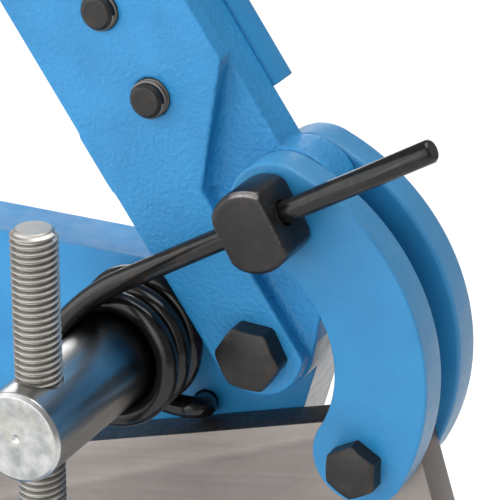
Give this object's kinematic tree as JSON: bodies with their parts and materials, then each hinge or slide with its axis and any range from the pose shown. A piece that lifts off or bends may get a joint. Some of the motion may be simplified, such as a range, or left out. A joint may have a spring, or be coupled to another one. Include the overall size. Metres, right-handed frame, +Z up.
{
  "type": "bench lever shear",
  "caption": "Bench lever shear: hand lever, curved links, swinging blade over a fixed blade, coil return spring and screw hold-down on a bolt-down frame.",
  "frame": {"origin": "centre of the four bench bolt holes, on the bench surface", "axes": "+Z up, +X along the blades toward the lever end, +Y from the operator's side to the back"},
  "size_m": [0.3596, 0.156, 0.6526],
  "materials": {
    "blue_paint": "satin blue paint on steel",
    "blue_cast": "satin blue paint on a casting",
    "blade_steel": "ground tool steel",
    "black_bolt": "blackened steel",
    "zinc": "bright zinc plating",
    "stud_steel": "dull threaded steel",
    "spring_wire": "oil-blackened spring wire",
    "grip_rubber": "matt black rubber"
  },
  "bodies": {
    "frame": {"frame_plate": "blue_paint", "bed_bar": "blue_paint", "near_foot": "blue_paint", "far_foot": "blue_paint", "foot_bolts": "zinc", "foot_nuts": "zinc", "lower_blade": "blade_steel", "lower_blade_bolts": "black_bolt", "blade_pivot_bolt": "black_bolt", "blade_pivot_washer": "black_bolt", "blade_pivot_nut": "black_bolt", "lever_pivot_bolt": "black_bolt", "lever_pivot_washer": "black_bolt", "lever_pivot_nut": "black_bolt", "hold_down_bar": "zinc", "hold_down_nut": "zinc"},
    "lever": {"lever_head": "blue_cast", "handle_bar": "blue_paint", "handle_bolts": "black_bolt", "handle_tube": "blue_paint", "handle_rivet": "zinc", "handle_grip": "grip_rubber"},
    "blade": {"upper_blade": "blade_steel"},
    "links": {"near_link": "blue_paint", "far_link": "blue_paint", "link_bolt": "black_bolt", "link_nut": "black_bolt"},
    "pin": {"spring_pin": "black_bolt", "pin_washer": "black_bolt", "pin_clip": "black_bolt"},
    "spring": {"return_spring": "spring_wire"},
    "hold_down": {"hold_down_screw": "stud_steel"}
  },
  "joints": [
    {"name": "lever_swing", "type": "hinge", "parent": "frame", "child": "lever", "pos_m": [0.08, -0.0052, 0.2], "axis": [0, 1, 0], "range_deg": [0, 70], "stiffness_Nm_per_rad": 2, "springref_deg": -34.38},
    {"name": "blade_swing", "type": "hinge", "parent": "frame", "child": "blade", "pos_m": [-0.102, -0.0032, 0.1], "axis": [0, 1, 0], "range_deg": [0, 9.4]},
    {"name": "link_swing", "type": "hinge", "parent": "blade", "child": "links", "pos_m": [0.11075, -0.0032, 0.17644], "axis": [0, 1, 0], "range_deg": [0, 14.1]},
    {"name": "pin_swivel", "type": "hinge", "parent": "links", "child": "pin", "pos_m": [0.08752, -0.0142, 0.24168], "axis": [0, 1, 0], "range_deg": [0, 9.66]},
    {"name": "spring_wind", "type": "hinge", "parent": "frame", "child": "spring", "pos_m": [0.04481, -0.0182, 0.19569], "axis": [0, 1, 0], "range_deg": [0, 33.11], "deforming": ["return_spring"]},
    {"name": "hold_down_feed", "type": "slide", "parent": "frame", "child": "hold_down", "axis": [0, 0, 1], "range_m": [-0.04, 0.045]}
  ],
  "couplings": [
    {"joint": "blade_swing", "follows": "lever_swing", "ratio": 0.134},
    {"joint": "link_swing", "follows": "lever_swing", "ratio": 0.201},
    {"joint": "pin_swivel", "follows": "lever_swing", "ratio": 0.138},
    {"joint": "spring_wind", "follows": "lever_swing", "ratio": 0.473}
  ]
}
